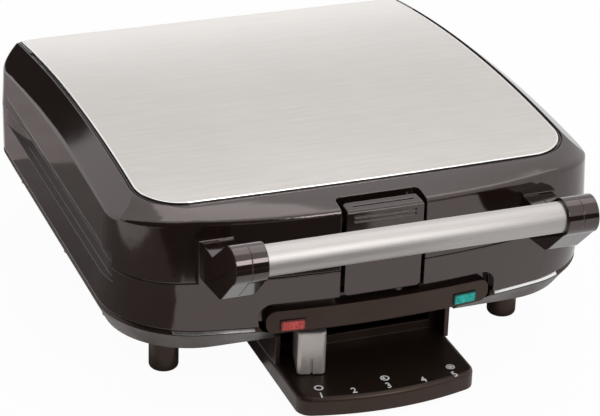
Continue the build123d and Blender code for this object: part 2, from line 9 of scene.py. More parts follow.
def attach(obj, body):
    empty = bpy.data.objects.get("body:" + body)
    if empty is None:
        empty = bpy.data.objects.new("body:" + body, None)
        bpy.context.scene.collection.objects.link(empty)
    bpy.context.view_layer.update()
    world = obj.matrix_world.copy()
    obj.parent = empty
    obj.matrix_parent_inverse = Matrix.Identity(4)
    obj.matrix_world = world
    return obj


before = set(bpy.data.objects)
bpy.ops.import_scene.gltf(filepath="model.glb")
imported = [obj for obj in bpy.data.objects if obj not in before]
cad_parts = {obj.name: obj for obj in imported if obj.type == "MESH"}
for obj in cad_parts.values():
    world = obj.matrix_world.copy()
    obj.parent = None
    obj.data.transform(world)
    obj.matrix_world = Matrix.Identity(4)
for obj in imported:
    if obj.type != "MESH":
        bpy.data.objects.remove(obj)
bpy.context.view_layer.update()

bl_info = {
    "name": "Waffle Maker Looks",
    "version": (1, 0, 0),
    "blender": (4, 5, 0),
    "location": "View3D > Sidebar > Waffle",
    "description": "Finishes, shelf marks and studio for a four-square waffle maker",
    "category": "Object",
}

# Crown of the lid and the rounded back corners of its top, in metres
CROWN_RADIUS = 1.020
CROWN_Y = -0.003
CROWN_TOP = 0.1247
LID_CORNER_X = 0.113
LID_CORNER_Y = 0.135
LID_CORNER = 0.0267

# Outline of the cover sheet, its outer skin and the roll over the lid's back edge, in metres
SHEET_PROUD = 0.0004
SHEET_HALF = 0.1264
SHEET_FRONT = -0.1035
SHEET_BOW = 0.0015
SHEET_CORNER = 0.024
SKIN_LIFT = 0.00003
SKIN_DEPTH = 0.0003
BACK_ROLL = 0.0034

# Share of the rolled edge's radius that stands above the sheet
ROLL_PROUD = 0.25

# Ends of the double groove and of its rib beside the cover sheet, in metres
GROOVE_WIDTH = 0.0029
GROOVE_LIFT = 0.00003
RIB_INNER = 0.0014
RIB_OUTER = 0.0020
RIB_LIFT = 0.0002
TAIL_FRONT = 0.130
TAIL_LENGTH = 0.0285
TAIL_DEPTH = 0.0001

# Bright strip in the seam between the base's wall and the skirt, a painted highlight of the skirt's upper
# edge, in metres
SEAM_LOW = 0.0483
SEAM_HIGH = 0.0499
SEAM_INNER = 0.072
SEAM_OUTER = 0.116
SEAM_FILM = 0.00006
SEAM_DEPTH = 0.0003

# A place in front of the whole machine, from which the skirt is sought, in metres
IN_FRONT = -1.0

# Grip recess along each side and the gap between base and lid in its middle, in metres
RECESS_FLOOR = 0.141
RECESS_WALL = 0.145
RECESS_LOW = 0.07205
RECESS_HIGH = 0.08895
RECESS_BACK = 0.130
RAMP_LENGTH = 0.045
RAMP_DEPTH = 0.0003
PARTING = 0.0807
HALF_GAP = 0.0003

# How far the lid's side wall leans in for each metre of height
LID_DRAFT = 0.052

# Places of the print on the shelf, in metres
SHELF_TOP = 0.0145
DIGIT_PLACES = ((-0.0405, -0.1493), (-0.0214, -0.1500), (-0.0010, -0.1507), (0.0200, -0.1508),
                (0.0390, -0.1507))
DISC_PLACES = {"light": (-0.0390, -0.1413), "medium": (0.0, -0.1426), "dark": (0.0400, -0.1424)}

# Turn of a number in radians for each metre from the middle, and the shape of its lettering
DIGIT_FAN = 4.0
DIGIT_SHARE = 0.69
DIGIT_BOLD = 0.024
DIGIT_NARROW = 0.8

# Brightness of the grey print, and the filled part's distance from a disc's edge in ring widths
GREY_PRINT = 0.7
FILL_INSET = 1.45

# Length of a brush line in its own widths, and roughness of the handle ends against the housings
BRUSH_LINE = 40.0
HANDLE_ENDS = 0.8

# Studio floor and the height of the cards that lie on it, in metres
FLOOR_HALF = 4.0
FLOOR_DROP = -0.0002
CARD_HEIGHT = 0.001

# Lamps: place, aim, and width and height, in metres
LAMPS = {
    "key": ((0.45, 0.35, 1.5), (0.0, 0.0, 0.05), (1.4, 1.0)),
    "back": ((0.65, 1.5, 0.28), (0.0, 0.0, 0.1), (1.2, 0.36)),
    "rim": ((0.55, 1.6, 0.05), (0.0, 0.0, 0.08), (1.4, 0.09)),
    "fill": ((-0.9, -1.2, 1.3), (0.0, 0.0, 0.06), (0.9, 0.9)),
    "sparkle": ((0.33, -1.16, 0.80), (0.0, -0.15, 0.08), (0.42, 0.5)),
}

# Cards that lie on the floor: brightness and corners, in metres. The left, left back and under cards are
# painted shade on the floor beside and under the machine, seen only in the mouldings' reflections
LYING_CARDS = {
    "left_floor_card": (0.2, ((-0.37, -0.32), (-0.16, -0.32), (-0.16, 0.22), (-0.37, 0.22))),
    "front_floor_card": (0.01, ((-0.37, -0.9), (0.30, -0.9), (0.07, -0.315), (-0.37, -0.315))),
    "left_back_floor_card": (0.5, ((-0.40, 0.22), (-0.16, 0.22), (-0.16, 0.46), (-0.40, 0.46))),
    "under_card": (0.55, ((-0.13, -0.085), (0.13, -0.085), (0.13, 0.14), (-0.13, 0.14))),
}

# Cards that stand: brightness, the two ends in plan, and the lower and upper edge, in metres
STANDING_CARDS = {
    "back_card": (0.02, (-0.64, 1.2), (-0.15, 1.2), 0.1, 0.6),
    "camera_card": (0.02, (-0.95, 0.1), (0.1, -0.95), 0.0, 1.5),
    "front_card": (0.02, (0.1, -0.95), (0.75, -0.95), 0.0, 0.42),
}
CARD_TINT = (1.0, 0.88, 0.86)

# Viewpoint: place in metres, turns in degrees, sensor in millimetres, shifts in pixels of the photograph
CAMERA_PLACE = (-0.4689, -1.1906, 0.6899)
CAMERA_YAW = 20.90
CAMERA_PITCH = 26.34
CAMERA_ROLL = 1.63
SENSOR_WIDTH = 36.0
CLIP_END = 20.0
PHOTO_WIDTH = 600
SHIFT_ACROSS = 25.4
SHIFT_UP = -6.6


def colour(name, description, default):
    """A colour that the user can change."""
    return FloatVectorProperty(name=name, description=description, subtype="COLOR", size=3,
                               min=0.0, max=1.0, default=default)


def length(name, description, default):
    """A size in metres that the user can change."""
    return FloatProperty(name=name, description=description, subtype="DISTANCE", unit="LENGTH",
                         min=0.0, default=default)


def share(name, description, default):
    """A number from 0 to 1 that the user can change."""
    return FloatProperty(name=name, description=description, subtype="FACTOR", min=0.0, max=1.0,
                         default=default)


def power(name, description, default):
    """A lamp's power that the user can change."""
    return FloatProperty(name=name, description=description, unit="POWER", min=0.0, default=default)


class PlasticLooks(bpy.types.PropertyGroup):
    """Black mouldings and the grey knob"""
    gloss: colour("Gloss black", "Colour of the polished mouldings", (0.011, 0.0062, 0.0045))
    satin: colour("Satin black", "Colour of the fine-grained mouldings", (0.012, 0.0070, 0.0052))
    sheen: colour("Polish tint", "Tint of the light that the mouldings mirror", (1.0, 0.86, 0.85))
    satin_sheen: colour("Satin tint", "Tint of the light that the fine-grained mouldings mirror",
                        (1.0, 0.74, 0.62))
    knob: colour("Knob grey", "Colour of the browning lever's knob", (0.47, 0.43, 0.405))
    gloss_roughness: share("Gloss roughness", "Roughness of the polished mouldings", 0.09)
    satin_roughness: share("Satin roughness", "Roughness of the fine-grained mouldings", 0.36)
    edge: length("Edge rounding", "Radius of the softened edges of a moulding", 0.0009)


class SteelLooks(bpy.types.PropertyGroup):
    """Cover sheet, handle tube and waffle plates"""
    sheet: colour("Cover sheet", "Colour of the brushed cover sheet", (0.57, 0.54, 0.515))
    # The rolled edge's colour is also used for the seam strip, a painted highlight
    rolled: colour("Rolled edge", "Colour of the bright rolled edge of the cover sheet", (0.92, 0.90, 0.88))
    tube: colour("Handle tube", "Colour of the satin handle tube", (0.45, 0.425, 0.41))
    coating: colour("Plate coating", "Colour of the non-stick waffle plates", (0.035, 0.034, 0.033))
    sheet_roughness: share("Sheet roughness", "Roughness of the brushed cover sheet", 0.34)
    tube_roughness: share("Tube roughness", "Roughness of the handle tube", 0.40)
    brushing: length("Brushing", "Distance between two brush lines of the sheet or tube", 0.00045)
    roll: length("Edge roll", "Radius of the cover sheet's rolled edge", 0.0006)


class LampLooks(bpy.types.PropertyGroup):
    """Lenses of the two lamps"""
    red: colour("Red lens", "Colour of the heating lamp's lens", (0.33, 0.042, 0.040))
    green: colour("Green lens", "Colour of the ready lamp's lens", (0.006, 0.27, 0.235))
    facet: length("Lens facet", "Width of one facet in a lens", 0.0016)


class MarkLooks(bpy.types.PropertyGroup):
    """White print on the control shelf"""
    print_colour: colour("Print", "Colour of the printed marks", (0.95, 0.94, 0.92))
    digit: length("Digit height", "Height of the printed numbers", 0.0054)
    disc: length("Disc radius", "Radius of the three browning discs", 0.00265)
    stroke: length("Ring width", "Width of the line round a browning disc", 0.0009)
    film: length("Film thickness", "Thickness of the print", 0.00006)


class StageLooks(bpy.types.PropertyGroup):
    """Floor, light and camera"""
    floor: colour("Floor", "Colour of the floor", (0.86, 0.86, 0.855))
    room: share("Room light", "Strength of the soft light from all around", 0.65)
    key: power("Key lamp", "Power of the large lamp overhead", 5.0)
    back: power("Back lamp", "Power of the wide lamp behind the machine", 0.55)
    rim: power("Rim lamp", "Power of the low lamp that the top edges mirror", 0.8)
    fill: power("Fill lamp", "Power of the lamp beside the camera", 2.0)
    sparkle: power("Sparkle lamp", "Power of the small lamp that edges mirror", 3.6)
    focal: FloatProperty(name="Focal length", description="Focal length of the camera in millimetres",
                         subtype="DISTANCE_CAMERA", min=1.0, default=142.86)


class WaffleLooks(bpy.types.PropertyGroup):
    """Everything that the panel shows"""
    plastic: PointerProperty(type=PlasticLooks, name="Plastic", description="Black mouldings and knob")
    steel: PointerProperty(type=SteelLooks, name="Metal", description="Sheet, tube and plates")
    lamps: PointerProperty(type=LampLooks, name="Lamps", description="Lamp lenses")
    marks: PointerProperty(type=MarkLooks, name="Marks", description="Print on the shelf")
    stage: PointerProperty(type=StageLooks, name="Stage", description="Floor, light and camera")


class Finish:
    """One procedural material under construction, in the object's own coordinates."""

    def __init__(self, name):
        self.material = bpy.data.materials.new(name)
        self.material.use_nodes = True
        self.tree = self.material.node_tree
        self.shader = self.tree.nodes["Principled BSDF"]
        self.place = self.add("ShaderNodeTexCoord").outputs["Object"]

    def add(self, kind, **settings):
        """A new node with its settings."""
        node = self.tree.nodes.new(kind)
        for key, value in settings.items():
            setattr(node, key, value)
        return node

    def link(self, output, node, socket):
        """Join an output to a node's socket."""
        self.tree.links.new(output, node.inputs[socket])

    def fix(self, **values):
        """Set constants straight on the shader's sockets."""
        for key, value in values.items():
            self.shader.inputs[key.replace("_", " ")].default_value = value

    def spread(self, scale):
        """Coordinates stretched by three factors."""
        node = self.add("ShaderNodeMapping")
        node.inputs["Scale"].default_value = scale
        self.link(self.place, node, "Vector")
        return node.outputs["Vector"]

    def noise(self, scale, detail=2.0, rough=0.5, vector=None):
        """Cloudy pattern; scale counts features in a metre."""
        node = self.add("ShaderNodeTexNoise")
        node.inputs["Scale"].default_value = scale
        node.inputs["Detail"].default_value = detail
        node.inputs["Roughness"].default_value = rough
        self.link(vector or self.place, node, "Vector")
        return node.outputs["Fac"]

    def level(self, factor, low, high, start=0.3, end=0.7):
        """A number from low to high as the factor goes from start to end."""
        node = self.add("ShaderNodeMapRange", clamp=True)
        for key, value in (("From Min", start), ("From Max", end), ("To Min", low), ("To Max", high)):
            node.inputs[key].default_value = value
        self.link(factor, node, "Value")
        return node.outputs["Result"]

    def tint(self, factor, shade, low, high):
        """A colour from low to high times its brightness with the factor."""
        node = self.add("ShaderNodeMix", data_type="RGBA")
        node.inputs["A"].default_value = (*scaled(shade, low), 1.0)
        node.inputs["B"].default_value = (*scaled(shade, high), 1.0)
        self.link(factor, node, "Factor")
        return node.outputs["Result"]

    def reckon(self, operation, first, second):
        """Two outputs, or an output and a number, put together."""
        node = self.add("ShaderNodeMath", operation=operation)
        for index, value in enumerate((first, second)):
            if isinstance(value, (int, float)):
                node.inputs[index].default_value = value
            else:
                self.link(value, node, index)
        return node.outputs["Value"]

    def rounding(self, radius):
        """Normal that rounds the sharp edges."""
        node = self.add("ShaderNodeBevel", samples=6)
        node.inputs["Radius"].default_value = radius
        return node.outputs["Normal"]

    def relief(self, height, strength, depth, normal):
        """Bump from a height, on top of another normal."""
        node = self.add("ShaderNodeBump")
        node.inputs["Strength"].default_value = strength
        node.inputs["Distance"].default_value = depth
        self.link(height, node, "Height")
        self.link(normal, node, "Normal")
        return node.outputs["Normal"]

    def shade(self, tone, roughness, normal):
        """Join the finished parts to the shader."""
        self.link(tone, self.shader, "Base Color")
        self.link(roughness, self.shader, "Roughness")
        self.link(normal, self.shader, "Normal")
        return self.material


def scaled(shade, factor):
    """A colour made darker or lighter."""
    return tuple(min(1.0, c * factor) for c in shade)


def moulding(name, shade, roughness, polish, sheen, edge, peel_scale, peel_depth):
    """Black moulded plastic: faint clouds, uneven polish, fine skin, softened edges."""
    finish = Finish(name)
    clouds = finish.noise(scale=18.0, detail=3.0)
    skin = finish.noise(scale=peel_scale, rough=0.6)
    haze = finish.noise(scale=55.0, detail=4.0, rough=0.6)
    finish.fix(Specular_IOR_Level=polish, Specular_Tint=(*sheen, 1.0))
    normal = finish.relief(skin, strength=0.25, depth=peel_depth, normal=finish.rounding(edge))
    return finish.shade(finish.tint(clouds, shade, low=0.8, high=1.25),
                        finish.level(haze, low=roughness * 0.85, high=roughness * 1.2), normal)


def brushed(name, shade, roughness, pitch, along, anisotropy, turn, edge):
    """Brushed steel with lines along one axis, faint clouds and a rounded edge; turn swings highlights."""
    finish = Finish(name)
    stretch = tuple((1.0 / pitch) / (BRUSH_LINE if axis == along else 1.0) for axis in "XYZ")
    lines = finish.noise(scale=1.0, detail=3.0, rough=0.65, vector=finish.spread(stretch))
    streaks = finish.noise(scale=0.2, rough=0.6, vector=finish.spread(stretch))
    clouds = finish.noise(scale=16.0)
    fine = finish.reckon("MULTIPLY", lines, 0.6)
    broad = finish.reckon("MULTIPLY", streaks, 0.25)
    cloudy = finish.reckon("MULTIPLY", clouds, 0.15)
    mixed = finish.reckon("ADD", finish.reckon("ADD", fine, broad), cloudy)
    finish.fix(Metallic=1.0, Anisotropic=anisotropy, Anisotropic_Rotation=turn)
    grain = finish.add("ShaderNodeCombineXYZ")
    grain.inputs[along].default_value = 1.0
    finish.link(grain.outputs["Vector"], finish.shader, "Tangent")
    normal = finish.relief(lines, strength=0.08, depth=0.00004, normal=finish.rounding(edge))
    return finish.shade(finish.tint(finish.level(mixed, low=0.0, high=1.0), shade, low=0.86, high=1.12),
                        finish.level(mixed, low=roughness * 0.9, high=roughness * 1.12), normal)


def plain_metal(name, shade, roughness, metallic=1.0):
    """Small metal part with faint stains and scratches."""
    finish = Finish(name)
    stains = finish.noise(scale=90.0, detail=4.0, rough=0.6)
    scratches = finish.noise(scale=1.0, rough=0.6, vector=finish.spread(scale=(300.0, 2400.0, 300.0)))
    finish.fix(Metallic=metallic)
    normal = finish.relief(scratches, strength=0.1, depth=0.00004, normal=finish.rounding(radius=0.0004))
    return finish.shade(finish.tint(stains, shade, low=0.75, high=1.1),
                        finish.level(stains, low=roughness * 0.8, high=roughness * 1.3), normal)


def coated_casting(name, shade):
    """Non-stick coating: dark, lightly speckled, with a fine sprayed texture."""
    finish = Finish(name)
    spray = finish.noise(scale=1500.0, rough=0.7)
    speckle = finish.level(finish.noise(scale=2600.0, detail=1.0), low=0.0, high=1.0, start=0.62, end=0.72)
    wear = finish.noise(scale=30.0, detail=4.0, rough=0.6)
    normal = finish.relief(spray, strength=0.2, depth=0.00008, normal=finish.rounding(radius=0.0009))
    return finish.shade(finish.tint(speckle, shade, low=1.0, high=2.2),
                        finish.level(wear, low=0.34, high=0.5), normal)


def lens_finish(name, shade, facet):
    """Coloured lens: polished face, faceted back, and a darker border along its top and sides that is painted
    shade of its recess.
    """
    finish = Finish(name)
    grid = finish.add("ShaderNodeTexVoronoi", distance="CHEBYCHEV")
    grid.inputs["Scale"].default_value = 1.0 / facet
    grid.inputs["Randomness"].default_value = 0.3
    finish.link(finish.place, grid, "Vector")
    cells = grid.outputs["Distance"]
    clouds = finish.noise(scale=260.0, detail=3.0)
    coarse = finish.reckon("MULTIPLY", cells, 0.9)
    cloudy = finish.reckon("MULTIPLY", clouds, 0.4)
    mixed = finish.reckon("ADD", coarse, cloudy)
    span = finish.add("ShaderNodeSeparateXYZ")
    finish.link(finish.add("ShaderNodeTexCoord").outputs["Generated"], span, "Vector")
    # Painted shade of the lens's recess: top, left and right make the lens darker towards its top, left and
    # right edges
    top = finish.level(span.outputs["Z"], low=1.0, high=0.1, start=0.78, end=0.92)
    left = finish.level(span.outputs["X"], low=0.15, high=1.0, start=0.03, end=0.09)
    right = finish.level(span.outputs["X"], low=1.0, high=0.3, start=0.91, end=0.97)
    border = finish.reckon("MULTIPLY", finish.reckon("MULTIPLY", left, right), top)
    facets = finish.level(mixed, low=0.15, high=1.0, start=0.22, end=0.72)
    # glow: the facet pattern darkened by the painted shade of the border
    glow = finish.reckon("MULTIPLY", facets, border)
    finish.fix(IOR=1.5, Specular_IOR_Level=0.3, Transmission_Weight=0.1)
    normal = finish.relief(cells, strength=0.35, depth=0.0002, normal=finish.rounding(radius=0.0005))
    return finish.shade(finish.tint(glow, shade, low=0.08, high=2.0),
                        finish.level(clouds, low=0.16, high=0.3), normal)


def knob_finish(name, shade, edge):
    """Satin silver-grey paint with a fine metallic flake."""
    finish = Finish(name)
    flake = finish.noise(scale=3200.0, detail=1.0)
    clouds = finish.noise(scale=70.0, detail=3.0)
    finish.fix(Metallic=0.55, Coat_Weight=0.3, Coat_Roughness=0.2)
    normal = finish.relief(flake, strength=0.1, depth=0.00003, normal=finish.rounding(edge))
    return finish.shade(finish.tint(clouds, shade, low=0.86, high=1.14),
                        finish.level(flake, low=0.26, high=0.4), normal)


def matte(name, shade, roughness, grain):
    """Matte rubber, print or heatproof moulding with a dusty grain."""
    finish = Finish(name)
    dust = finish.noise(scale=grain, detail=4.0, rough=0.65)
    clouds = finish.noise(scale=40.0)
    normal = finish.relief(dust, strength=0.3, depth=0.0001, normal=finish.rounding(radius=0.0005))
    return finish.shade(finish.tint(clouds, shade, low=0.8, high=1.2),
                        finish.level(dust, low=roughness * 0.9, high=min(1.0, roughness * 1.1)), normal)


def paint(material, *names):
    """Give CAD nodes a finish."""
    for name in names:
        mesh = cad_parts[name].data
        mesh.materials.clear()
        mesh.materials.append(material)


class WAFFLE_OT_housings(bpy.types.Operator):
    """Finish the gloss black housings, handle ends and latch tile"""
    bl_idname = "waffle.housings"
    bl_label = "Gloss mouldings"

    def execute(self, context):
        look = context.scene.waffle.plastic
        gloss = moulding("gloss_moulding", look.gloss, look.gloss_roughness, polish=1.0, sheen=look.sheen,
                         edge=look.edge, peel_scale=420.0, peel_depth=0.00002)
        paint(gloss, "base_housing", "lid_housing", "latch_tile")
        ends = moulding("handle_end_moulding", look.gloss, HANDLE_ENDS * look.gloss_roughness, polish=1.0,
                        sheen=look.sheen, edge=look.edge, peel_scale=420.0, peel_depth=0.00001)
        paint(ends, "left_handle_bracket", "right_handle_bracket", "left_handle_cap", "right_handle_cap")
        return {"FINISHED"}


class WAFFLE_OT_controls(bpy.types.Operator):
    """Finish the satin shelf, panel, feet, skirt and latch pin, and the rubber pads and cord gland"""
    bl_idname = "waffle.controls"
    bl_label = "Satin mouldings"

    def execute(self, context):
        look = context.scene.waffle.plastic
        satin = moulding("satin_moulding", look.satin, look.satin_roughness, polish=0.55,
                         sheen=look.satin_sheen, edge=look.edge, peel_scale=1300.0, peel_depth=0.00005)
        paint(satin, "control_shelf", "control_panel", "feet", "bottom_cover", "latch_pin")
        paint(matte("pad_rubber", (0.02, 0.02, 0.02), roughness=0.8, grain=900.0), "foot_pads", "cord_gland")
        return {"FINISHED"}


def strip_faces(rows, turned):
    """Faces of a strip whose points come in pairs; turned ones look the other way."""
    quads = [(a, a + 2, a + 3, a + 1) for a in range(0, 2 * rows, 2)]
    return [tuple(reversed(quad)) for quad in quads] if turned else quads


def backed(verts, faces, depth):
    """Close an open sheet with a copy further in and a wall along its border, and count its own faces."""
    sheet = bpy.data.meshes.new("open_sheet")
    sheet.from_pydata(verts, [], faces)
    sheet.update()
    outer = [tuple(v.co) for v in sheet.vertices]
    inner = [tuple(v.co - depth * v.normal) for v in sheet.vertices]
    bpy.data.meshes.remove(sheet)
    count = len(outer)
    sides = [(f[i], f[(i + 1) % len(f)]) for f in faces for i in range(len(f))]
    paired = set(sides)
    open_sides = [(a, b) for a, b in sides if (b, a) not in paired]
    border = sorted({a for side in open_sides for a in side})
    lip = {a: 2 * count + index for index, a in enumerate(border)}
    walls = [(lip[b], lip[a], a + count, b + count) for a, b in open_sides]
    back = [tuple(a + count for a in reversed(f)) for f in faces]
    return outer + inner + [outer[a] for a in border], faces + back + walls, len(faces)


def loose_piece(name, verts, faces, smooth, material, body):
    """Mesh that rides with one body; its first faces are shaded smooth."""
    mesh = bpy.data.meshes.new(name)
    mesh.from_pydata(verts, [], faces)
    mesh.update()
    for index, face in enumerate(mesh.polygons):
        face.use_smooth = index < smooth
    mesh.materials.append(material)
    piece = bpy.data.objects.new(name, mesh)
    bpy.context.scene.collection.objects.link(piece)
    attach(piece, body)


def crown(y):
    """Height of the lid's crown at one distance from its middle."""
    return CROWN_TOP - CROWN_RADIUS + math.sqrt(CROWN_RADIUS ** 2 - (y - CROWN_Y) ** 2)


def lid_back(x):
    """Where the lid's top ends behind, at one distance from the middle."""
    over = max(0.0, abs(x) - LID_CORNER_X)
    return LID_CORNER_Y + math.sqrt(LID_CORNER ** 2 - over ** 2)


def bowed_front(x):
    """Front line of the cover sheet between its corners, at one distance from the middle."""
    return SHEET_FRONT + SHEET_BOW * (x / SHEET_HALF) ** 2


def sheet_front(x):
    """Where the cover sheet begins in front, at one distance from the middle."""
    inner = SHEET_HALF - SHEET_CORNER
    if abs(x) <= inner:
        return bowed_front(x)
    bend = bowed_front(inner) + SHEET_CORNER
    return bend - math.sqrt(max(0.0, SHEET_CORNER ** 2 - (abs(x) - inner) ** 2))


def sheet_edge_path():
    """Points round the cover sheet and their outward directions, from the back left corner to the right."""
    side_steps, turn_steps, bow_steps = 24, 12, 12
    inner = SHEET_HALF - SHEET_CORNER
    front = bowed_front(inner)
    back = lid_back(SHEET_HALF)
    left = []
    for step in range(side_steps):
        y = back + (front + SHEET_CORNER - back) * step / side_steps
        left.append(((-SHEET_HALF, y), (-1.0, 0.0)))
    for step in range(turn_steps + 1):
        angle = math.radians(180.0 + 90.0 * step / turn_steps)
        out = (math.cos(angle), math.sin(angle))
        left.append(((-inner + SHEET_CORNER * out[0], front + SHEET_CORNER + SHEET_CORNER * out[1]), out))
    for step in range(1, bow_steps):
        x = -inner + inner * step / bow_steps
        left.append(((x, bowed_front(x)), (0.0, -1.0)))
    middle = [((0.0, SHEET_FRONT), (0.0, -1.0))]
    right = [((-x, y), (-u, v)) for (x, y), (u, v) in reversed(left)]
    return left + middle + right


def rolled_edge(radius, material):
    """Bright rolled edge along the cover sheet's sides, front and corners."""
    count = 10
    verts, faces = [], []
    path = sheet_edge_path()
    for (x, y), (u, v) in path:
        height = crown(y) + SHEET_PROUD + ROLL_PROUD * radius - radius
        for step in range(count):
            angle = 2 * math.pi * step / count
            reach = radius * math.cos(angle)
            verts.append((x + u * reach, y + v * reach, height + radius * math.sin(angle)))
    for ring in range(len(path) - 1):
        for step in range(count):
            a, b = ring * count + step, ring * count + (step + 1) % count
            faces.append((a, a + count, b + count, b))
    faces.append(tuple(range(count)))
    faces.append(tuple(reversed(range(len(verts) - count, len(verts)))))
    loose_piece("cover_sheet_edge", verts, faces, len(faces) - 2, material, "lid")


def sheet_skin(material):
    """Outer skin of the cover sheet, square at its rear corners and rolled over the lid's back edge."""
    corner_steps, flat_steps, length_steps = 9, 6, 28
    inner = SHEET_HALF - SHEET_CORNER
    turns = [math.radians(90.0 * step / corner_steps) for step in range(corner_steps + 1)]
    columns = [-inner - SHEET_CORNER * math.cos(turn) for turn in turns]
    columns += [-inner * (1 - step / flat_steps) for step in range(1, flat_steps)]
    columns += [0.0] + [-c for c in reversed(columns)]
    lift = SHEET_PROUD + SKIN_LIFT
    verts = []
    for step in range(length_steps + 1):
        for x in columns:
            y = sheet_front(x) + (lid_back(x) - sheet_front(x)) * step / length_steps
            verts.append((x, y, crown(y) + lift))
    for degrees in range(15, 90, 15):
        angle = math.radians(degrees)
        reach = BACK_ROLL * math.sin(angle)
        for x in columns:
            y = lid_back(x)
            over = math.copysign(max(0.0, abs(x) - LID_CORNER_X), x) / LID_CORNER
            verts.append((x + reach * over, y + reach * math.sqrt(1 - over ** 2),
                          crown(y) + lift - BACK_ROLL * (1 - math.cos(angle))))
    wide = len(columns)
    faces = [(r * wide + c, r * wide + c + 1, (r + 1) * wide + c + 1, (r + 1) * wide + c)
             for r in range(len(verts) // wide - 1) for c in range(wide - 1)]
    loose_piece("cover_sheet_skin", *backed(verts, faces, SKIN_DEPTH), material, "lid")


def groove_tail(name, sign, inside, outside, lift, material):
    """One line of the double groove beside the rear end of the cover sheet: a dark strip that is the groove's
    painted shadow, or the rib beside it.
    """
    steps = 8
    verts = []
    for step in range(steps + 1):
        y = TAIL_FRONT + TAIL_LENGTH * step / steps
        for reach in (inside, outside):
            verts.append((sign * (SHEET_HALF + reach), y, crown(y) + lift))
    loose_piece(name, *backed(verts, strip_faces(steps, sign > 0), TAIL_DEPTH), material, "lid")


class WAFFLE_OT_cover_sheet(bpy.types.Operator):
    """Finish the brushed cover sheet, give it its rolled edge and square rear corners, and lay the groove's
    painted shadow and its rib beside its rear end
    """
    bl_idname = "waffle.cover_sheet"
    bl_label = "Cover sheet"

    def execute(self, context):
        look = context.scene.waffle.steel
        steel = brushed("brushed_cover", look.sheet, look.sheet_roughness, look.brushing, along="X",
                        anisotropy=0.35, turn=0.0, edge=0.0005)
        paint(steel, "cover_sheet")
        sheet_skin(steel)
        rolled_edge(look.roll, plain_metal("polished_edge", look.rolled, roughness=0.16))
        shadow = matte("groove_black", (0.004, 0.003, 0.003), roughness=0.8, grain=300.0)
        gloss = bpy.data.materials["gloss_moulding"]
        for side, sign in (("left", -1.0), ("right", 1.0)):
            # A dark matte strip is painted shadow where the groove runs on beside the rear end of the sheet
            groove_tail(f"{side}_groove_tail", sign, 0.0, GROOVE_WIDTH, GROOVE_LIFT, shadow)
            groove_tail(f"{side}_rib_tail", sign, RIB_INNER, RIB_OUTER, RIB_LIFT, gloss)
        return {"FINISHED"}


def seam_strip(name, start, end, material):
    """Bright metal strip, a painted highlight on the skirt's upper edge in the seam below the base's wall,
    from start to end across.
    """
    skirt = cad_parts["bottom_cover"]
    surface = BVHTree.FromPolygons([skirt.matrix_world @ v.co for v in skirt.data.vertices],
                                   [tuple(p.vertices) for p in skirt.data.polygons])
    backwards = Vector((0.0, 1.0, 0.0))
    steps = 24
    verts = []
    for step in range(steps + 1):
        x = start + (end - start) * step / steps
        for height in (SEAM_LOW, SEAM_HIGH):
            hit, normal, _, _ = surface.ray_cast(Vector((x, IN_FRONT, height)), backwards)
            if hit is None:
                raise RuntimeError(f"{name} finds no skirt {x:.3f} m from the middle")
            verts.append(hit + SEAM_FILM * normal)
    loose_piece(name, *backed(verts, strip_faces(steps, False), SEAM_DEPTH), material, "base")


class WAFFLE_OT_skirt_seam(bpy.types.Operator):
    """Lay a bright strip as a painted highlight in the seam between the base and its skirt, left and right of
    the controls
    """
    bl_idname = "waffle.skirt_seam"
    bl_label = "Skirt seam"

    def execute(self, context):
        look = context.scene.waffle.steel
        # The bright metal strip stands in for the highlight that the skirt's upper edge catches
        bright = plain_metal("polished_seam", look.rolled, roughness=0.2)
        seam_strip("left_seam_strip", -SEAM_OUTER, -SEAM_INNER, bright)
        seam_strip("right_seam_strip", SEAM_INNER, SEAM_OUTER, bright)
        return {"FINISHED"}


def recess_ramp(name, sign, low, high, material, body):
    """Ramp on which one half of a grip recess runs out to the side wall at its back end."""
    steps = 12
    verts = []
    for step in range(steps + 1):
        along = step / steps
        rise = along * along * (3.0 - 2.0 * along)
        y = RECESS_BACK - RAMP_LENGTH * (1.0 - along)
        for z in (low, high):
            wall = RECESS_WALL - LID_DRAFT * max(0.0, z - PARTING)
            verts.append((sign * (RECESS_FLOOR + (wall - RECESS_FLOOR) * rise), y, z))
    loose_piece(name, *backed(verts, strip_faces(steps, sign < 0), RAMP_DEPTH), material, body)


class WAFFLE_OT_grip_ends(bpy.types.Operator):
    """Let the grip recess of each side run out smoothly at its back end"""
    bl_idname = "waffle.grip_ends"
    bl_label = "Grip ends"

    def execute(self, context):
        gloss = bpy.data.materials["gloss_moulding"]
        for side, sign in (("left", -1.0), ("right", 1.0)):
            recess_ramp(f"{side}_lower_grip_end", sign, RECESS_LOW, PARTING - HALF_GAP, gloss, "base")
            recess_ramp(f"{side}_upper_grip_end", sign, PARTING + HALF_GAP, RECESS_HIGH, gloss, "lid")
        return {"FINISHED"}


class WAFFLE_OT_handle_tube(bpy.types.Operator):
    """Finish the satin handle tube"""
    bl_idname = "waffle.handle_tube"
    bl_label = "Handle tube"

    def execute(self, context):
        look = context.scene.waffle.steel
        satin = brushed("satin_tube", look.tube, look.tube_roughness, look.brushing, along="X",
                        anisotropy=0.8, turn=0.25, edge=0.0004)
        paint(satin, "handle_tube")
        return {"FINISHED"}


class WAFFLE_OT_lamps(bpy.types.Operator):
    """Finish the red and the green lens"""
    bl_idname = "waffle.lamps"
    bl_label = "Lamp lenses"

    def execute(self, context):
        look = context.scene.waffle.lamps
        paint(lens_finish("red_lens", look.red, look.facet), "red_lamp_lens")
        paint(lens_finish("green_lens", look.green, look.facet), "green_lamp_lens")
        return {"FINISHED"}


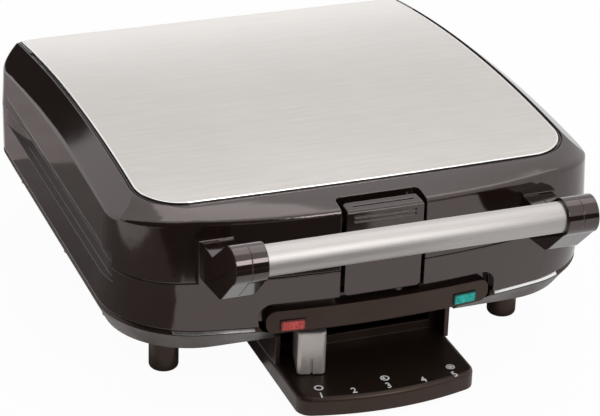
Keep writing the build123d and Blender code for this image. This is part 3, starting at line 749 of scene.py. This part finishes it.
class WAFFLE_OT_lever(bpy.types.Operator):
    """Finish the browning lever's knob, steel arm and spindle"""
    bl_idname = "waffle.lever"
    bl_label = "Browning lever"

    def execute(self, context):
        look = context.scene.waffle.plastic
        paint(knob_finish("knob_paint", look.knob, look.edge), "lever_knob")
        plated = plain_metal("plated_arm", (0.42, 0.42, 0.41), roughness=0.3)
        paint(plated, "lever_arm", "thermostat_spindle")
        return {"FINISHED"}


class WAFFLE_OT_plates(bpy.types.Operator):
    """Finish the two waffle plates with their coating"""
    bl_idname = "waffle.plates"
    bl_label = "Waffle plates"

    def execute(self, context):
        look = context.scene.waffle.steel
        paint(coated_casting("plate_coating", look.coating), "lower_waffle_plate", "upper_waffle_plate")
        return {"FINISHED"}


class WAFFLE_OT_works(bpy.types.Operator):
    """Finish the pins, springs, screws, clips, reflectors, fuse, heaters, terminal block and thermostat"""
    bl_idname = "waffle.works"
    bl_label = "Inner works"

    def execute(self, context):
        bright = plain_metal("bright_steel", (0.56, 0.56, 0.55), roughness=0.28)
        paint(bright, "hinge_pins", "latch_return_leaf", "latch_catch_leaf", "handle_bolts", "cover_screws",
              "lower_plate_screws", "upper_plate_screws", "lower_element_clips", "upper_element_clips")
        reflector = plain_metal("reflector_sheet", (0.72, 0.72, 0.71), roughness=0.2)
        paint(reflector, "lower_reflector", "upper_reflector", "thermal_fuse")
        sheath = plain_metal("heater_sheath", (0.12, 0.115, 0.11), roughness=0.5, metallic=0.6)
        paint(sheath, "lower_heating_element", "upper_heating_element")
        heatproof = matte("heatproof_moulding", (0.5, 0.45, 0.37), roughness=0.6, grain=600.0)
        paint(heatproof, "terminal_block", "thermostat")
        return {"FINISHED"}


def print_piece(name, mesh, x, y, turn, material):
    """Lay a flat mesh on the shelf and let it ride with the base."""
    piece = bpy.data.objects.new(name, mesh)
    mesh.materials.clear()
    mesh.materials.append(material)
    piece.matrix_world = Matrix.Translation((x, y, SHELF_TOP)) @ Matrix.Rotation(turn, 4, "Z")
    bpy.context.scene.collection.objects.link(piece)
    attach(piece, "base")


def digit_mesh(text, height, film):
    """Mesh of one printed number, its underside on the shelf."""
    curve = bpy.data.curves.new("digit_outline", "FONT")
    curve.body = text
    curve.size = height / DIGIT_SHARE
    curve.align_x = "CENTER"
    curve.align_y = "CENTER"
    curve.offset = height * DIGIT_BOLD
    curve.extrude = film / 2
    curve.resolution_u = 6
    holder = bpy.data.objects.new("digit_holder", curve)
    mesh = bpy.data.meshes.new_from_object(holder)
    bpy.data.objects.remove(holder)
    mesh.transform(Matrix.Translation((0, 0, film / 2)) @ Matrix.Diagonal((DIGIT_NARROW, 1.0, 1.0, 1.0)))
    return mesh


def disc_mesh(radius, stroke, film, fill):
    """Mesh of one browning disc: a ring, filled from angle fill[0] to fill[1] in degrees."""
    count = 48
    verts, faces = [], []
    bands = [(radius - stroke, radius, 0.0, 360.0)]
    if fill:
        bands.append((0.0, radius - FILL_INSET * stroke, *fill))
    for inner, outer, start, end in bands:
        first = len(verts)
        steps = int(count * (end - start) / 360.0)
        for index in range(steps + 1):
            angle = math.radians(start + (end - start) * index / steps)
            for reach in (inner, outer):
                for height in (0.0, film):
                    verts.append((reach * math.cos(angle), reach * math.sin(angle), height))
        for index in range(steps):
            a, b = first + 4 * index, first + 4 * index + 4
            faces += [(a + 1, a + 3, b + 3, b + 1), (a + 2, a, b, b + 2), (a + 3, a + 2, b + 2, b + 3),
                      (a, a + 1, b + 1, b)]
        if end - start < 360.0:
            last = first + 4 * steps
            faces += [(first, first + 2, first + 3, first + 1), (last + 1, last + 3, last + 2, last)]
    mesh = bpy.data.meshes.new("browning_disc")
    mesh.from_pydata(verts, [], faces)
    mesh.update()
    return mesh


class WAFFLE_OT_marks(bpy.types.Operator):
    """Print the numbers 1 to 5 and the three browning discs on the shelf"""
    bl_idname = "waffle.marks"
    bl_label = "Shelf marks"

    def execute(self, context):
        look = context.scene.waffle.marks
        white = matte("shelf_print", look.print_colour, roughness=0.5, grain=1800.0)
        for number, (x, y) in enumerate(DIGIT_PLACES, start=1):
            mesh = digit_mesh(str(number), look.digit, look.film)
            print_piece(f"shelf_digit_{number}", mesh, x, y, DIGIT_FAN * x, white)
        grey = matte("shelf_print_grey", scaled(look.print_colour, GREY_PRINT), roughness=0.5, grain=1800.0)
        discs = (("light", None, white), ("medium", (90.0, 270.0), white), ("dark", (0.0, 360.0), grey))
        for name, fill, material in discs:
            mesh = disc_mesh(look.disc, look.stroke, look.film, fill)
            print_piece(f"shelf_disc_{name}", mesh, *DISC_PLACES[name], 0.0, material)
        return {"FINISHED"}


def seen_or_mirrored(tree, seen=1.0, mirrored=1.0):
    """One share for camera rays, another for mirror and glass rays, and nought for rays that light things."""
    path = tree.nodes.new("ShaderNodeLightPath")
    total = None
    rays = (("Is Camera Ray", seen), ("Is Glossy Ray", mirrored), ("Is Transmission Ray", mirrored))
    for name, part in rays:
        ray = tree.nodes.new("ShaderNodeMath")
        ray.operation = "MULTIPLY"
        ray.inputs[1].default_value = part
        tree.links.new(path.outputs[name], ray.inputs[0])
        if total:
            both = tree.nodes.new("ShaderNodeMath")
            both.operation = "MAXIMUM"
            tree.links.new(total, both.inputs[0])
            tree.links.new(ray.outputs["Value"], both.inputs[1])
            ray = both
        total = ray.outputs["Value"]
    return total


def lamp(name, place, aim, size, watts):
    """Soft rectangular lamp that points at a place."""
    data = bpy.data.lights.new(name, "AREA")
    data.shape = "RECTANGLE"
    data.size, data.size_y = size
    data.energy = watts
    light = bpy.data.objects.new(name, data)
    light.location = place
    light.rotation_euler = (Vector(aim) - Vector(place)).to_track_quat("-Z", "Y").to_euler()
    bpy.context.scene.collection.objects.link(light)


def flat_stage_piece(name, corners, material):
    """Four-cornered sheet for the studio, linked to the scene."""
    mesh = bpy.data.meshes.new(name)
    mesh.from_pydata(corners, [], [(0, 1, 2, 3)])
    mesh.materials.append(material)
    sheet = bpy.data.objects.new(name, mesh)
    bpy.context.scene.collection.objects.link(sheet)
    return sheet


def mirrored_card(name, brightness, corners):
    """Matte card that only the polished surfaces mirror."""
    surface = matte(name, scaled(CARD_TINT, brightness), roughness=0.9, grain=60.0)
    card = flat_stage_piece(name, corners, surface)
    card.visible_camera = False
    card.visible_diffuse = False
    card.visible_shadow = False


def floor_material(shade):
    """White floor that keeps a faint shadow."""
    finish = Finish("studio_floor")
    grain = finish.noise(scale=40.0, detail=4.0)
    finish.fix(Roughness=0.9)
    finish.link(finish.tint(grain, shade, low=0.99, high=1.01), finish.shader, "Base Color")
    glow = finish.add("ShaderNodeEmission")
    glow.inputs["Strength"].default_value = 1.0
    mix = finish.add("ShaderNodeMixShader")
    finish.link(seen_or_mirrored(finish.tree, seen=0.96, mirrored=0.6), mix, "Fac")
    finish.link(finish.shader.outputs["BSDF"], mix, 1)
    finish.link(glow.outputs["Emission"], mix, 2)
    finish.link(mix.outputs["Shader"], finish.tree.nodes["Material Output"], "Surface")
    return finish.material


def studio_floor(shade):
    """Wide white floor just below the feet."""
    half = FLOOR_HALF
    corners = [(-half, -half, 0.0), (half, -half, 0.0), (half, half, 0.0), (-half, half, 0.0)]
    floor = flat_stage_piece("studio_floor", corners, floor_material(shade))
    floor.location.z = FLOOR_DROP


def studio_cards():
    """Cards that give the polished mouldings something to mirror; the left and under ones are painted shade
    on the floor.
    """
    for name, (brightness, corners) in LYING_CARDS.items():
        mirrored_card(name, brightness, [(x, y, CARD_HEIGHT) for x, y in corners])
    for name, (brightness, start, end, low, high) in STANDING_CARDS.items():
        mirrored_card(name, brightness, [(*start, low), (*end, low), (*end, high), (*start, high)])


def studio_room(strength):
    """White room that is seen and mirrored at full strength and lights things at its own."""
    world = bpy.data.worlds.new("studio_room")
    bpy.context.scene.world = world
    world.use_nodes = True
    tree = world.node_tree
    background = tree.nodes["Background"]
    background.inputs["Color"].default_value = (1.0, 1.0, 1.0, 1.0)
    level = tree.nodes.new("ShaderNodeMapRange")
    level.inputs["To Min"].default_value = strength
    level.inputs["To Max"].default_value = 1.0
    tree.links.new(seen_or_mirrored(tree), level.inputs["Value"])
    tree.links.new(level.outputs["Result"], background.inputs["Strength"])


def camera_matrix():
    """The photograph's viewpoint: place, then right, up and back axes."""
    yaw, pitch, roll = (math.radians(a) for a in (CAMERA_YAW, CAMERA_PITCH, CAMERA_ROLL))
    ahead = Vector((math.cos(pitch) * math.sin(yaw), math.cos(pitch) * math.cos(yaw), -math.sin(pitch)))
    right = Vector((math.cos(yaw), -math.sin(yaw), 0.0))
    up = right.cross(ahead)
    side = math.cos(roll) * right + math.sin(roll) * up
    top = -math.sin(roll) * right + math.cos(roll) * up
    turn = Matrix((side, top, -ahead)).transposed().to_4x4()
    return Matrix.Translation(CAMERA_PLACE) @ turn


def photo_camera(focal):
    """Camera at the photograph's viewpoint."""
    data = bpy.data.cameras.new("photo_camera")
    data.lens = focal
    data.sensor_width = SENSOR_WIDTH
    data.shift_x = SHIFT_ACROSS / PHOTO_WIDTH
    data.shift_y = SHIFT_UP / PHOTO_WIDTH
    data.clip_end = CLIP_END
    camera = bpy.data.objects.new("photo_camera", data)
    camera.matrix_world = camera_matrix()
    bpy.context.scene.collection.objects.link(camera)
    bpy.context.scene.camera = camera


class WAFFLE_OT_stage(bpy.types.Operator):
    """Build the floor, the soft lamps, the cards, the room light and the camera"""
    bl_idname = "waffle.stage"
    bl_label = "Stage"

    def execute(self, context):
        look = context.scene.waffle.stage
        studio_floor(look.floor)
        for name, (place, aim, size) in LAMPS.items():
            lamp(f"{name}_lamp", place, aim, size, getattr(look, name))
        studio_cards()
        studio_room(look.room)
        photo_camera(look.focal)
        context.scene.view_settings.view_transform = "Standard"
        return {"FINISHED"}


OPERATORS = (WAFFLE_OT_housings, WAFFLE_OT_controls, WAFFLE_OT_cover_sheet, WAFFLE_OT_skirt_seam,
             WAFFLE_OT_grip_ends, WAFFLE_OT_handle_tube, WAFFLE_OT_lamps, WAFFLE_OT_lever, WAFFLE_OT_plates,
             WAFFLE_OT_works, WAFFLE_OT_marks, WAFFLE_OT_stage)


class WAFFLE_PT_looks(bpy.types.Panel):
    """List the finishes and the steps that lay them on"""
    bl_idname = "WAFFLE_PT_looks"
    bl_label = "Waffle maker"
    bl_space_type = "VIEW_3D"
    bl_region_type = "UI"
    bl_category = "Waffle"

    def draw(self, context):
        looks = context.scene.waffle
        for group in ("plastic", "steel", "lamps", "marks", "stage"):
            box = self.layout.box()
            settings = getattr(looks, group)
            for name in type(settings).__annotations__:
                box.prop(settings, name)
        for step in OPERATORS:
            self.layout.operator(step.bl_idname)


CLASSES = (PlasticLooks, SteelLooks, LampLooks, MarkLooks, StageLooks, WaffleLooks, *OPERATORS,
           WAFFLE_PT_looks)


def register():
    for item in CLASSES:
        bpy.utils.register_class(item)
    bpy.types.Scene.waffle = PointerProperty(type=WaffleLooks, name="Waffle maker",
                                             description="Looks of the machine")


def unregister():
    del bpy.types.Scene.waffle
    for item in reversed(CLASSES):
        bpy.utils.unregister_class(item)


def main():
    register()
    for step in OPERATORS:
        group, name = step.bl_idname.split(".")
        getattr(getattr(bpy.ops, group), name)()


if __name__ == "__main__":
    main()
